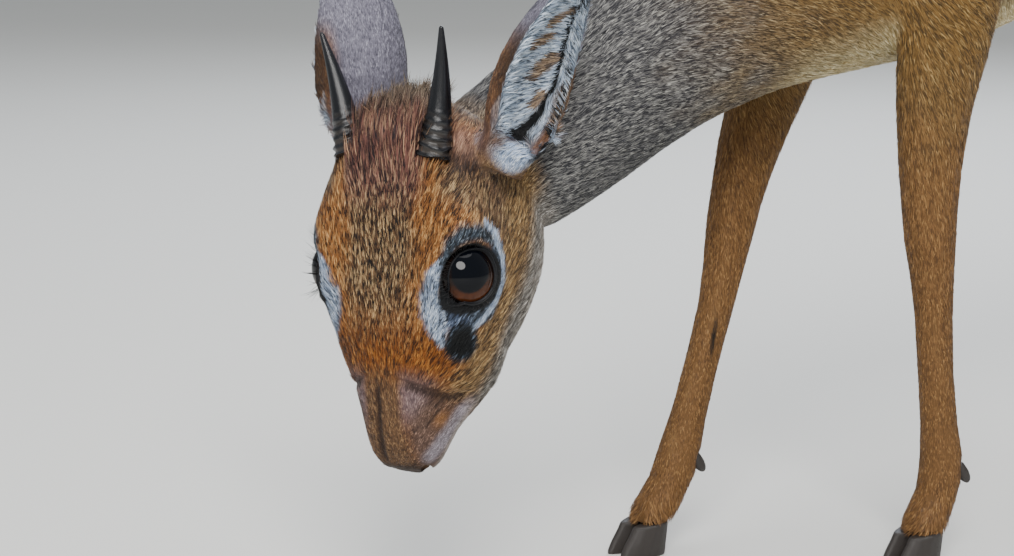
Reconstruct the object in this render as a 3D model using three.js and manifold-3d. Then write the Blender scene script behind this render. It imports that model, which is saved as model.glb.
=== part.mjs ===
// A Kirk's dik-dik buck as a still, life-size museum model, standing with its head lowered to browse.
// Millimetres, +Z up. The animal faces -X and its left side is -Y. Body sizes are given from a stand point
// on the floor below the left forearm; the finished group is then moved so that the middle of its footprint
// box is the origin.
import * as THREE from "three";
import { mergeVertices } from "three/addons/utils/BufferGeometryUtils.js";
import Module from "manifold-3d";

const wasm = await Module();
wasm.setup();

// Gap left between two nodes that meet.
const partGap = 0.3;
// From the stand point to the middle of the footprint box.
const standX = 38.12;
const standY = 0;

// The head's own axes: forward along the face, up through the crown, out to the left ear.
const headAt = new THREE.Vector3(-229.5, -0.7, 138.1);
const faceward = new THREE.Vector3(-0.3614, -0.2024, -0.9102);
const crownward = new THREE.Vector3(-0.8537, -0.3207, 0.4103);
const leftward = new THREE.Vector3(0.3749, -0.9253, 0.0569);

// The face, in head axes from midway between the eyes.
const eyeRadius = 13;
const eyeForward = 1.7;
const eyeUp = -0.2;
const eyeOut = 26;
const lidLength = 18.5;
const lidHeight = 16;
const lidRise = 12.5;
const lidOpeningHalfLength = 10.4;
const lidOpeningHalfHeight = 9.6;
const browForward = 2;
const browUp = 9;
const browReach = 18;
const browRise = 4.2;
const browSwell = 1.6;
const glandForward = 26;
const glandUp = -9;
const glandReach = 9;
const glandDepth = 1.5;
// Cheek and chin hollows: forward, up, reach and depth, in at the cheek and out at the chin.
const cheekHollow = [10, -30, 12, 1.6];
const chinHollow = [52, -38, 9, -1.2];
const muzzleForward = 46;
const nostrilForward = 68;
const nostrilUp = -28;
const nostrilOut = 7.4;
const nostrilSizes = [5.4, 4.6, 2];
const mouthBack = 36;
const mouthLevel = -34;
const lipGap = 0.5;

// Horns.
const hornForward = -37;
const hornUp = 19;
const hornLength = 46;
const hornRootDepth = 5;
const hornBaseRadius = 6.4;
const hornTipRadius = 0.9;
const hornRings = 4;
const hornRingedShare = 0.34;
const hornRingHeight = 0.75;
const hornTaper = 1.05;
const hornBow = 1.9;

// Ears.
const earLength = 80;
const earThickness = 1.7;
const earRootDepth = 5;

// Crest locks on the crown.
const lockLength = 18;
const lockWidth = 8.6;
const lockThickness = 3.2;
const lockSink = 1.3;
const lockLift = 0.3;
const lockCurl = 2.4;
const locksAside = 2;
const lockSpacing = 5.2;
const crestRows = 4;
const crestFront = -22;
const crestRowStep = 8;

// Cloven feet.
const clawLength = 22;
const clawHeight = 14;
const clawHalfWidth = 4.7;
const clawParting = 1.4;

const vec = (x, y, z) => new THREE.Vector3(x, y, z);

// A place given in head axes, in the stand frame.
const onHead = (forward, up, out) =>
  headAt
    .clone()
    .addScaledVector(faceward, forward)
    .addScaledVector(crownward, up)
    .addScaledVector(leftward, out);

// A direction given in head axes.
const headDirection = (forward, up, out) =>
  vec(0, 0, 0)
    .addScaledVector(faceward, forward)
    .addScaledVector(crownward, up)
    .addScaledVector(leftward, out)
    .normalize();

// The closed solid bounded by a geometry, facing out whichever way its rings ran.
function solidFrom(geometry) {
  const bare = geometry.clone();
  bare.deleteAttribute("normal");
  bare.deleteAttribute("uv");
  const merged = mergeVertices(bare, 1e-4);
  const corners = new Uint32Array(merged.index.array);
  const build = () =>
    new wasm.Manifold(
      new wasm.Mesh({
        numProp: 3,
        vertProperties: new Float32Array(merged.attributes.position.array),
        triVerts: corners,
      }),
    );
  const made = build();
  if (made.volume() >= 0) return made;
  for (let i = 0; i < corners.length; i += 3)
    [corners[i + 1], corners[i + 2]] = [corners[i + 2], corners[i + 1]];
  return build();
}

// Rows of numbers carried smoothly through their stations: steps rows between each pair.
function through(rows, steps) {
  const at = (i) => rows[Math.min(Math.max(i, 0), rows.length - 1)];
  const out = [];
  for (let i = 0; i < rows.length - 1; i++)
    for (let k = 0; k < steps; k++) {
      const t = k / steps;
      out.push(
        rows[i].map((_, c) => {
          const [p, a, b, n] = [at(i - 1)[c], at(i)[c], at(i + 1)[c], at(i + 2)[c]];
          return (
            a +
            0.5 * t * (b - p + t * (2 * p - 5 * a + 4 * b - n + t * (3 * (a - b) + n - p)))
          );
        }),
      );
    }
  out.push(rows[rows.length - 1].slice());
  return out;
}

// A closed skin through rings that all hold the same number of points.
function loft(rings) {
  const count = rings[0].length;
  const places = [];
  for (const ring of rings) for (const p of ring) places.push(p.x, p.y, p.z);
  const corners = [];
  for (let i = 0; i < rings.length - 1; i++)
    for (let j = 0; j < count; j++) {
      const a = i * count + j;
      const b = i * count + ((j + 1) % count);
      corners.push(a, b, a + count, b, b + count, a + count);
    }
  const cap = (ring, base, flip) => {
    const middle = ring.reduce((sum, p) => sum.add(p), vec(0, 0, 0)).divideScalar(count);
    const tip = places.length / 3;
    places.push(middle.x, middle.y, middle.z);
    for (let j = 0; j < count; j++) {
      const a = base + j;
      const b = base + ((j + 1) % count);
      corners.push(...(flip ? [b, a, tip] : [a, b, tip]));
    }
  };
  cap(rings[0], 0, true);
  cap(rings[rings.length - 1], (rings.length - 1) * count, false);
  const geometry = new THREE.BufferGeometry();
  geometry.setAttribute("position", new THREE.Float32BufferAttribute(places, 3));
  geometry.setIndex(corners);
  return solidFrom(geometry);
}

// One oval ring: half sizes to the side, up and down; roundness 2 is an ellipse and more is squarer.
function oval(centre, side, up, halfSide, halfUp, halfDown, roundness, count) {
  const ring = [];
  for (let j = 0; j < count; j++) {
    const turn = (2 * Math.PI * j) / count;
    const c = Math.cos(turn);
    const s = Math.sin(turn);
    const across = Math.sign(s) * Math.abs(s) ** (2 / roundness) * halfSide;
    const rise = Math.sign(c) * Math.abs(c) ** (2 / roundness) * (c > 0 ? halfUp : halfDown);
    ring.push(centre.clone().addScaledVector(side, across).addScaledVector(up, rise));
  }
  return ring;
}

// A body swept along its middle line. A row is x, y, z, half side, half up, half down, roundness.
function sweep(rows, steps, count) {
  const fine = through(rows, steps);
  const middle = fine.map((r) => vec(r[0], r[1], r[2]));
  return loft(
    fine.map((r, i) => {
      const along = middle[Math.min(i + 1, middle.length - 1)]
        .clone()
        .sub(middle[Math.max(i - 1, 0)])
        .normalize();
      const side = along.clone().cross(vec(0, 0, 1)).normalize();
      return oval(middle[i], side, side.clone().cross(along), r[3], r[4], r[5], r[6], count);
    }),
  );
}

// A leg swept down its bones. A row is x, y, z, half front to back, half side.
function limb(rows, steps, count) {
  const fine = through(rows, steps);
  const middle = fine.map((r) => vec(r[0], r[1], r[2]));
  return loft(
    fine.map((r, i) => {
      const along = middle[Math.min(i + 1, middle.length - 1)]
        .clone()
        .sub(middle[Math.max(i - 1, 0)])
        .normalize();
      const front = vec(0, 1, 0).cross(along).normalize();
      const side = along.clone().cross(front);
      return oval(middle[i], side, front, r[4], r[3], r[3], 2.2, count);
    }),
  );
}

// A thin flat cut: its middle, the direction it faces, its half extent, and a direction its edge runs along.
function cut(at, facing, reach, thickness = partGap, edge = vec(0, 1, 0)) {
  const n = facing.clone().normalize();
  const u = edge.clone().cross(n).normalize();
  const v = n.clone().cross(u);
  const face = (offset) =>
    [
      [1, 1],
      [-1, 1],
      [-1, -1],
      [1, -1],
    ].map(([a, b]) =>
      at
        .clone()
        .addScaledVector(u, a * reach)
        .addScaledVector(v, b * reach)
        .addScaledVector(n, offset),
    );
  return loft([face(-thickness / 2), face(thickness / 2)]);
}

// A ball squashed along three directions.
function egg(at, axes, sizes, around, down) {
  const ball = new THREE.SphereGeometry(1, around, down);
  const place = new THREE.Matrix4().makeBasis(
    axes[0].clone().multiplyScalar(sizes[0]),
    axes[1].clone().multiplyScalar(sizes[1]),
    axes[2].clone().multiplyScalar(sizes[2]),
  );
  place.setPosition(at);
  return solidFrom(ball.applyMatrix4(place));
}

const headAxes = [faceward, crownward, leftward];

// Head: flat forehead, wide brow over the eyes, soft drooping snout.
// Rows are forward, top, bottom, half width, widest level, roundness above, roundness below.
const headRows = [
  [-61, 4, -14, 11, -3, 2.0, 2.0],
  [-57, 11, -26, 21, -3, 2.1, 2.1],
  [-50, 18, -38, 27.5, -2, 2.3, 2.3],
  [-40, 23, -49, 32.5, 0, 2.5, 2.6],
  [-28, 23, -55, 35, 1, 2.7, 2.9],
  [-15, 20, -57, 36.5, 1, 2.8, 3],
  [-3, 16.5, -55.5, 36, -1, 2.7, 3],
  [9, 12.5, -52.5, 34, -6, 2.5, 3],
  [20, 8.5, -48.5, 31.6, -10, 2.55, 2.9],
  [31, 4.3, -47, 28.6, -15, 2.4, 2.9],
  [42, 0, -42.8, 23, -22, 2.2, 2.6],
  [52, -4.5, -38.5, 18, -23, 2.2, 2.3],
  [60, -9, -37, 15.5, -25, 2.2, 2.2],
  [66.5, -14.5, -35, 13, -26, 2.2, 2.2],
  [70.5, -20.5, -31.5, 8.5, -26, 2.1, 2.1],
];
const headSides = 32;

// How much a mark on the side of the head counts at a place.
const near = (forward, up, markForward, markUp, reach) =>
  Math.exp(-((forward - markForward) ** 2 + (up - markUp) ** 2) / (reach * reach));

function headSkin() {
  const rings = through(headRows, 2).map(([f, top, bottom, half, widest, above, below]) => {
    const ring = [];
    for (let j = 0; j < headSides; j++) {
      const turn = (2 * Math.PI * j) / headSides;
      const c = Math.cos(turn);
      const s = Math.sin(turn);
      const round = c > 0 ? above : below;
      let up =
        widest +
        Math.sign(c) * Math.abs(c) ** (2 / round) * (c > 0 ? top - widest : widest - bottom);
      let out = Math.sign(s) * Math.abs(s) ** (2 / round) * half;
      let hollow = glandDepth * near(f, up, glandForward, glandUp, glandReach);
      for (const [markForward, markUp, reach, depth] of [cheekHollow, chinHollow])
        hollow += depth * near(f, up, markForward, markUp, reach);
      const brow = near(f, up, browForward, browUp, browReach) * Math.min(1, Math.abs(out) / eyeOut) ** 3;
      out -= Math.sign(out) * (Math.min(hollow, Math.abs(out) * 0.4) - browSwell * brow);
      up += browRise * brow;
      ring.push(onHead(f, up, out));
    }
    return ring;
  });
  return loft(rings);
}

// The eye looks out, a little forward and a little up.
const eyeAt = (side) => onHead(eyeForward, eyeUp, side * eyeOut);
const gaze = (side) => headDirection(0.165, 0.55, side);
const eyeAxes = (side) => {
  const look = gaze(side);
  const up = crownward.clone().addScaledVector(look, -look.dot(crownward)).normalize();
  return [up.clone().cross(look), up, look];
};
const eyeBall = (side, radius) =>
  egg(eyeAt(side), eyeAxes(side), [radius, radius, radius], 14, 10);

// Lids: a thin shell over the eyeball, opened by a near round almond that is longest along the face.
const lids = (side) =>
  egg(eyeAt(side), eyeAxes(side), [lidLength, lidHeight, lidRise], 16, 9);

function lidOpening(side) {
  const [along, up, look] = eyeAxes(side);
  const ring = (out, wide) =>
    Array.from({ length: 18 }, (_, j) => {
      const turn = (2 * Math.PI * j) / 18;
      const c = Math.cos(turn);
      return eyeAt(side)
        .addScaledVector(look, out)
        .addScaledVector(along, wide * lidOpeningHalfLength * Math.sign(c) * Math.abs(c) ** 0.9)
        .addScaledVector(up, wide * lidOpeningHalfHeight * Math.sin(turn));
    });
  return loft([ring(3, 0.8), ring(eyeRadius + 8, 1.35)]);
}

// Horns: short, near straight, ringed over the lower third.
const hornOut = { 1: 18.5, [-1]: -19.8 };
const hornFoot = (side) => onHead(hornForward, hornUp, hornOut[side]);
const hornLean = { 1: headDirection(-0.9, 0.36, 0.1), [-1]: headDirection(-0.9, 0.36, -0.28) };

function horn(side, grow = 0) {
  const lean = hornLean[side];
  const bow = headDirection(0.35, 0.9, 0);
  const across = lean.clone().cross(bow).normalize();
  const ahead = across.clone().cross(lean);
  const rings = [];
  const stations = 20;
  for (let i = 0; i <= stations; i++) {
    const along = ((hornLength + hornRootDepth) * i) / stations - hornRootDepth - (i ? 0 : grow);
    const share = Math.max(along, 0) / hornLength;
    const taper = hornBaseRadius + (hornTipRadius - hornBaseRadius) * share ** hornTaper;
    const ringed = Math.max(0, 1 - share / hornRingedShare) ** 0.5;
    const ridge =
      hornRingHeight * ringed * Math.cos((2 * Math.PI * hornRings * share) / hornRingedShare);
    const radius = taper + ridge + grow;
    const middle = hornFoot(side)
      .addScaledVector(lean, along)
      .addScaledVector(bow, -hornBow * Math.sin(Math.PI * share));
    rings.push(oval(middle, across, ahead, radius * 0.94, radius, radius, 2, 12));
  }
  return loft(rings);
}

// Ears: leaf-shaped cups that open to the side. The left one is pricked out, its front edge rolled over
// more and more towards the tip; the right one lies back and shows its outside.
const earFoot = (side) => (side > 0 ? onHead(-44.4, 1.6, 33.4) : onHead(-46, 3, -25));
const earLean = { 1: headDirection(-0.85, 0.192, 0.481), [-1]: headDirection(-0.88, 0.26, -0.2) };
const earFacing = { 1: headDirection(0.11, 0.12, 0.97), [-1]: headDirection(0.1, -0.5, -0.86) };
// How wide each ear is, and how far its front and rear edges curl at the foot and at the tip.
const earGirth = { 1: 0.93, [-1]: 1 };
const earFrontCurl = { 1: [0.87, 1.5], [-1]: [1, 1] };
const earRearCurl = { 1: [1.08, 0.92], [-1]: [1, 1] };

// Rows are share of length, curl radius, half angle of the curl, how far the back bows.
const earRows = [
  [0.0, 11, 150, 0],
  [0.08, 12.8, 130, 0.4],
  [0.17, 15.8, 108, 1.2],
  [0.28, 18.6, 90, 2],
  [0.4, 19.7, 79, 2.4],
  [0.52, 19.2, 72, 2.4],
  [0.64, 17.4, 67, 2],
  [0.75, 14.6, 61, 1.4],
  [0.85, 10.6, 54, 0.4],
  [0.93, 7, 46, -1],
  [0.98, 3.8, 41, -2],
  [1.0, 1.8, 40, -2.5],
];

function ear(side, grow = 0) {
  const lean = earLean[side];
  const facing = earFacing[side].clone();
  facing.addScaledVector(lean, -facing.dot(lean)).normalize();
  const across = lean.clone().cross(facing);
  const arc = 8;
  const girth = earGirth[side];
  const curled = ([foot, tip], share, half) => ((foot + (tip - foot) * share) * half * Math.PI) / 180;
  const rings = earRows.map(([share, full, half, bow]) => {
    const radius = full * girth;
    const middle = earFoot(side)
      .addScaledVector(lean, share * earLength)
      .addScaledVector(facing, -bow);
    const ring = [];
    const front = curled(earFrontCurl[side], share, half);
    const rear = curled(earRearCurl[side], share, half);
    const turnAt = (j, shrink) => shrink * (((front + rear) * j) / (arc - 1) - front);
    const point = (r, turn) =>
      middle
        .clone()
        .addScaledVector(across, r * Math.sin(turn))
        .addScaledVector(facing, -r * Math.cos(turn) + radius * 0.35);
    for (let j = 0; j < arc; j++) ring.push(point(radius, turnAt(j, 1)));
    const inner = Math.max(radius - earThickness, radius * 0.35);
    for (let j = arc - 1; j >= 0; j--) ring.push(point(inner, turnAt(j, 0.96)));
    return ring;
  });
  const cup = loft(rings);
  const stub = [
    [-earRootDepth - grow, 9.5],
    [0, 10.4],
    [3, 10.2],
    [5.5, 7],
  ].map(([along, radius]) =>
    oval(
      earFoot(side).addScaledVector(lean, along).addScaledVector(facing, 3),
      across,
      facing,
      radius + grow,
      radius + grow,
      radius + grow,
      2,
      16,
    ),
  );
  const sheath = earRows.slice(0, 4).map(([share, radius, , bow]) =>
    oval(
      earFoot(side)
        .addScaledVector(lean, share * earLength)
        .addScaledVector(facing, radius * girth * 0.35 - bow),
      across,
      facing,
      radius * girth + grow,
      radius * girth + grow,
      radius * girth + grow,
      2,
      16,
    ),
  );
  return grow ? loft(stub).add(loft(sheath)) : cup.add(loft(stub));
}

// Crest: flat tapered locks that lie back along the crown like shingles, each row over the next.
function crownAt(forward) {
  const i = Math.max(
    1,
    headRows.findIndex(([f]) => f >= forward),
  );
  const [f0, up0] = headRows[i - 1];
  const [f1, up1] = headRows[i];
  return up0 + ((up1 - up0) * (forward - f0)) / (f1 - f0);
}

function lock(forward, out, spread, length) {
  const slope = (crownAt(forward - 3) - crownAt(forward + 3)) / 6;
  const root = onHead(forward, crownAt(forward) - lockSink, out);
  const lie = headDirection(-1, slope + lockLift, spread);
  const face = headDirection(slope, 1, 0);
  face.addScaledVector(lie, -face.dot(lie)).normalize();
  const across = lie.clone().cross(face);
  const rows = [
    [-0.25, 0.6],
    [0.2, 1],
    [0.65, 0.8],
    [1, 0.15],
  ];
  return loft(
    rows.map(([share, wide]) => {
      const middle = root
        .clone()
        .addScaledVector(lie, share * length)
        .addScaledVector(face, -lockCurl * share * share);
      const halfThick = (lockThickness * (0.3 + 0.7 * wide)) / 2;
      return oval(middle, across, face, (lockWidth * wide) / 2, halfThick, halfThick, 2, 5);
    }),
  );
}

const crest = [];
for (let row = 0; row < crestRows; row++)
  for (let k = -locksAside; k <= locksAside; k++) {
    const stagger = ((row % 2) - 0.5) * (lockSpacing / 2);
    const length = lockLength * (1 - 0.07 * Math.abs(k));
    crest.push(lock(crestFront - crestRowStep * row, k * lockSpacing + stagger, 0.04 * k, length));
  }

// Neck and trunk in one sweep from the poll to the buttocks.
const trunkRows = [
  [-201, 15, 157, 24, 24, 24, 2],
  [-187, 12, 168, 27, 27.5, 30, 2],
  [-168, 8, 181.5, 28, 30, 34, 2],
  [-145, 4, 196.5, 29, 32.5, 36, 2],
  [-120, 1, 212, 31, 36, 37, 2],
  [-93, 0, 226, 35, 42, 41, 2],
  [-65, 0, 241, 41, 50, 50, 2.1],
  [-35, 0, 257, 48, 60, 61, 2.15],
  [0, 0, 271, 53, 70, 68, 2.15],
  [40, 0, 281, 57, 74, 67, 2.15],
  [90, 0, 289, 60, 68, 61, 2.15],
  [140, 0, 295, 62, 66, 59, 2.15],
  [190, 0, 301, 61, 67, 57, 2.15],
  [235, 0, 307, 57, 65, 54, 2.15],
  [272, 0, 311, 49, 56, 50, 2.1],
  [298, 0, 311, 35, 38, 42, 2],
  [310, 0, 309, 15, 15, 20, 2],
];
const trunkSides = 24;

// Legs. Rows are x, y, z, half front to back, half side, from the body down to the pastern.
const foreLegs = {
  left: [
    [24, -34, 322, 24, 14],
    [10, -42, 290, 31, 13],
    [-3, -43, 260, 30, 13.5],
    [-5, -42, 232, 26, 13.5],
    [-6, -39.5, 212, 21, 13.5],
    [-7.5, -37.5, 190, 17.4, 12],
    [-8, -36.5, 166, 14.2, 10.8],
    [-7.2, -36, 147, 12, 10.2],
    [-6.5, -36, 135, 11, 10],
    [-5, -36, 121, 9.3, 8.8],
    [-3.4, -36, 104, 8, 7.6],
    [-1.4, -36, 80, 7.6, 7.1],
    [1.2, -36, 58, 7.9, 7.4],
    [3, -36, 44, 9.0, 8.6],
    [3, -36, 36, 9.3, 9],
    [0.5, -36, 27, 8.4, 8.6],
    [-4.5, -36, 17, 8.6, 9.4],
    [-7, -36, 9, 8, 9.4],
  ],
  right: [
    [24, 34, 322, 24, 14],
    [6, 42, 290, 31, 13],
    [-9, 43, 260, 30, 13.5],
    [-16, 42, 232, 26, 13.5],
    [-23.5, 39.5, 212, 21, 13.5],
    [-33, 37.5, 190, 17.4, 12],
    [-43, 36.5, 166, 14, 10.8],
    [-49, 36, 147, 11.6, 10],
    [-52, 36, 134, 10.7, 9.8],
    [-55, 36, 119, 9, 8.6],
    [-59, 36, 101, 7.7, 7.3],
    [-65.5, 36, 79, 7.3, 6.9],
    [-72, 36, 57, 7.7, 7.3],
    [-76, 36, 44, 8.9, 8.5],
    [-78.5, 36, 36, 9.3, 9],
    [-83, 36, 27, 8.4, 8.6],
    [-90, 36, 17, 8.6, 9.4],
    [-93.5, 36, 9, 8, 9.4],
  ],
};
const hindLegs = {
  left: [
    [256, -32, 322, 44, 16],
    [250, -39, 290, 50, 20],
    [240, -42, 262, 46, 20],
    [230, -41.5, 240, 37, 17.5],
    [226, -40, 220, 28, 14.5],
    [234, -38, 200, 20, 12],
    [249, -36.5, 177, 13.6, 9.8],
    [262, -36, 158, 11.6, 8.6],
    [268, -36, 144, 10.8, 8.4],
    [267, -36, 128, 8.8, 7.8],
    [263, -36, 105, 7.5, 7],
    [258, -36, 77, 7.2, 6.7],
    [254, -36, 56, 7.6, 7.1],
    [251.5, -36, 43, 9, 8.6],
    [249.5, -36, 35, 9.3, 9],
    [245, -36, 27, 8.4, 8.6],
    [238.5, -36, 17, 8.6, 9.4],
    [235, -36, 9, 8, 9.4],
  ],
  right: [
    [258, 32, 322, 44, 16],
    [254, 39, 290, 50, 20],
    [248, 42, 262, 46, 20],
    [242, 41.5, 240, 37, 17.5],
    [243, 40, 220, 28, 14.5],
    [256, 38, 200, 20, 12],
    [276, 36.5, 178, 13.6, 9.8],
    [293, 36, 160, 11.6, 8.6],
    [301, 36, 146, 10.8, 8.4],
    [301, 36, 130, 8.8, 7.8],
    [299, 36, 106, 7.5, 7],
    [296.5, 36, 78, 7.2, 6.7],
    [294.5, 36, 56, 7.6, 7.1],
    [293, 36, 43, 9, 8.6],
    [291, 36, 35, 9.3, 9],
    [286.5, 36, 27, 8.4, 8.6],
    [280, 36, 17, 8.6, 9.4],
    [276.5, 36, 9, 8, 9.4],
  ],
};
const legSides = 14;

// Tail: short, hanging. Rows as for a leg.
const tailRows = [
  [288, 0, 339, 9, 9],
  [303, 0, 338.5, 8.5, 9.6],
  [314, 0, 333, 7.6, 9.4],
  [321.5, 0, 323, 6.4, 8.6],
  [325, 0, 310, 5.2, 7],
  [326, 0, 298, 3.6, 4.4],
  [326.5, 0, 289, 1.3, 1.5],
];
const tailSides = 12;

// A half-space box, for trimming: everything on the side the direction faces.
const beyond = (at, facing) =>
  cut(at.clone().addScaledVector(facing.clone().normalize(), 60), facing, 60, 120);

// The crown of the claws leans forward and down from the back of the foot.
const coronetFacing = vec(-0.12, 0, 1).normalize();

// One claw of a foot: flat sole on the floor, toe forward, wall leaning back to the coronet.
function claw(x, y, side) {
  const rows = [
    [0, 1, 0.97],
    [1.2, 1, 1],
    [5, 0.93, 0.98],
    [10, 0.8, 0.93],
    [clawHeight + 4, 0.66, 0.86],
  ];
  return loft(
    rows.map(([z, long, wide]) => {
      const ring = [];
      const heel = x + 5.5 + z * 0.1;
      const toe = heel - clawLength * long;
      const middle = (heel + toe) / 2;
      for (let j = 0; j < 12; j++) {
        const turn = (2 * Math.PI * j) / 12;
        const c = Math.cos(turn);
        const s = Math.sin(turn);
        const narrow = 1 - 0.42 * Math.max(0, -c) ** 1.6;
        const inward = side * -0.9 * Math.max(0, -c) ** 2;
        ring.push(
          vec(
            middle + (c * (heel - toe)) / 2,
            y +
              side * (clawHalfWidth + clawParting / 2) +
              Math.sign(s) * Math.abs(s) ** 0.85 * clawHalfWidth * wide * narrow +
              inward,
            z,
          ),
        );
      }
      return ring;
    }),
  );
}

// One dewclaw: a small horny cone behind the fetlock.
function dewclaw(x, y, z, side, grow = 0) {
  const point = vec(0.55, side * 0.18, -0.82).normalize();
  const across = point.clone().cross(vec(0, 1, 0)).normalize();
  const other = point.clone().cross(across);
  return loft(
    [
      [-3.5 - grow, 2.9],
      [1.5, 2.9],
      [4.5, 2.1],
      [6.2, 0.8],
    ].map(([along, radius]) =>
      oval(
        vec(x, y + side * 4.5, z).addScaledVector(point, along),
        across,
        other,
        radius + grow,
        radius + grow,
        radius + grow,
        2,
        8,
      ),
    ),
  );
}

// Materials.
const coatColour = 0x9a7a58;
const hornColour = 0x1d1f24;
const eyeColour = 0x1a120d;
const hoofColour = 0x2b2622;

const group = new THREE.Group();
function place(name, solid, colour, roughness) {
  const bodies = solid.decompose();
  bodies.sort((a, b) => b.volume() - a.volume());
  const mesh = bodies[0].getMesh();
  const geometry = new THREE.BufferGeometry();
  geometry.setAttribute(
    "position",
    new THREE.Float32BufferAttribute(Array.from(mesh.vertProperties), 3),
  );
  geometry.setIndex(Array.from(mesh.triVerts));
  geometry.translate(-standX, -standY, 0);
  geometry.computeVertexNormals();
  const node = new THREE.Mesh(
    geometry,
    new THREE.MeshStandardMaterial({ name, color: colour, roughness }),
  );
  node.name = name;
  group.add(node);
}

// The flesh is made whole, then parted by thin cuts.
const sides = { left: 1, right: -1 };
let flesh = headSkin();
for (const s of [1, -1]) flesh = flesh.add(lids(s));
for (const one of crest) flesh = flesh.add(one);
flesh = flesh.add(sweep(trunkRows, 2, trunkSides)).add(limb(tailRows, 2, tailSides));

const feet = [];
for (const [end, legs] of [
  ["fore", foreLegs],
  ["hind", hindLegs],
])
  for (const [name, rows] of Object.entries(legs)) {
    flesh = flesh.add(limb(rows, 1, legSides));
    const last = rows[rows.length - 1];
    const fetlock = rows[rows.length - 4];
    feet.push({ name: `${name}_${end}`, x: last[0], y: last[1], fetlock });
  }

// Sockets for what is set into the flesh.
for (const s of [1, -1]) {
  flesh = flesh
    .subtract(eyeBall(s, eyeRadius + partGap))
    .subtract(lidOpening(s))
    .subtract(horn(s, partGap))
    .subtract(ear(s, partGap));
  const nostril = headDirection(0.75, -0.15, s * 0.6);
  const slit = headDirection(-0.35, 0.9, s * 0.25);
  slit.addScaledVector(nostril, -slit.dot(nostril)).normalize();
  flesh = flesh.subtract(
    egg(
      onHead(nostrilForward, nostrilUp, s * nostrilOut),
      [slit, nostril, slit.clone().cross(nostril)],
      nostrilSizes,
      12,
      8,
    ),
  );
}

// Claws: the pastern stops at the coronet and the claws start below it.
const claws = [];
for (const foot of feet) {
  const coronet = vec(foot.x, foot.y, clawHeight);
  flesh = flesh.subtract(
    cut(coronet.clone().addScaledVector(coronetFacing, -20), coronetFacing, 26, 40),
  );
  for (const [which, s] of [
    ["outer", Math.sign(foot.y)],
    ["inner", -Math.sign(foot.y)],
  ]) {
    const lower = beyond(coronet.clone().addScaledVector(coronetFacing, -partGap), coronetFacing);
    claws.push([`${foot.name}_claw_${which}`, claw(foot.x, foot.y, s).subtract(lower)]);
    const [fx, fy, fz, fr] = foot.fetlock;
    const at = [fx + fr * 0.78, fy, fz + 1, s];
    flesh = flesh.subtract(dewclaw(...at, partGap));
    claws.push([`${foot.name}_dewclaw_${which}`, dewclaw(...at)]);
  }
}

// Thin cuts. Head from neck, muzzle and jaw from head, neck and trunk lengths, leg segments.
const cuts = [
  [vec(-186, 12, 179), vec(0.85, -0.07, 0.52), 46],
  [onHead(muzzleForward, mouthLevel + 40, 0), faceward, 40, leftward],
  [vec(-138, 3, 203), vec(0.88, 0, 0.48), 48],
  [vec(-86, 0, 231), vec(0.87, 0, 0.49), 49],
  [vec(62, 0, 282), vec(1, 0, 0.02), 95],
  [vec(158, 0, 292), vec(1, 0, 0.08), 90],
  [vec(320.5, 0, 325), vec(0.55, 0, -0.83), 12],
];
for (const one of [
  [foreLegs.left, [5, 8, 13]],
  [foreLegs.right, [5, 8, 13]],
  [hindLegs.left, [4, 8, 13]],
  [hindLegs.right, [4, 8, 13]],
]) {
  const [rows, stations] = one;
  for (const k of stations) {
    const here = vec(...rows[k].slice(0, 3));
    const along = vec(...rows[k - 1].slice(0, 3)).sub(vec(...rows[k + 1].slice(0, 3)));
    cuts.push([here, along, rows[k][3] + 6]);
  }
}
for (const [at, facing, reach, edge] of cuts)
  flesh = flesh.subtract(cut(at, facing, reach, partGap, edge));

// The mouth: a thin cut between the lips that runs back and turns down behind the corner.
const lips = [
  [74, mouthLevel + 2],
  [60, mouthLevel + 0.5],
  [mouthBack, mouthLevel],
  [mouthBack - 14, mouthLevel - 6],
  [mouthBack - 18, mouthLevel - 16],
];
for (let i = 0; i < lips.length - 1; i++) {
  const [f0, u0] = lips[i];
  const [f1, u1] = lips[i + 1];
  const run = Math.hypot(f1 - f0, u1 - u0);
  const [ef, eu] = [((f1 - f0) / run) * 0.2, ((u1 - u0) / run) * 0.2];
  const [nf, nu] = [((u1 - u0) / run) * (lipGap / 2), (-(f1 - f0) / run) * (lipGap / 2)];
  const face = (out) => [
    onHead(f0 - ef + nf, u0 - eu + nu, out),
    onHead(f1 + ef + nf, u1 + eu + nu, out),
    onHead(f1 + ef - nf, u1 + eu - nu, out),
    onHead(f0 - ef - nf, u0 - eu - nu, out),
  ];
  flesh = flesh.subtract(loft([face(-34), face(34)]));
}

// A name for each piece of flesh, by a place inside it.
const seeds = {
  head: onHead(-10, -5, 0),
  muzzle: onHead(57, -22, 0),
  lower_jaw: onHead(50, -39, 0),
  neck_upper: vec(-160, 6, 191),
  neck_lower: vec(-110, 1, 216),
  chest: vec(0, 0, 270),
  barrel: vec(110, 0, 284),
  rump: vec(240, 0, 300),
  tail: vec(329, 0, 310),
};
for (const [end, legs] of [
  ["fore", foreLegs],
  ["hind", hindLegs],
])
  for (const [name, rows] of Object.entries(legs)) {
    const put = (label, row) => (seeds[`${name}_${end}_${label}`] = vec(...row.slice(0, 3)));
    put(end === "fore" ? "forearm" : "gaskin", rows[6]);
    put("cannon", rows[10]);
    put("pastern", rows[rows.length - 3]);
  }

const pieces = flesh.decompose().filter((p) => p.volume() > 20);

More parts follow.
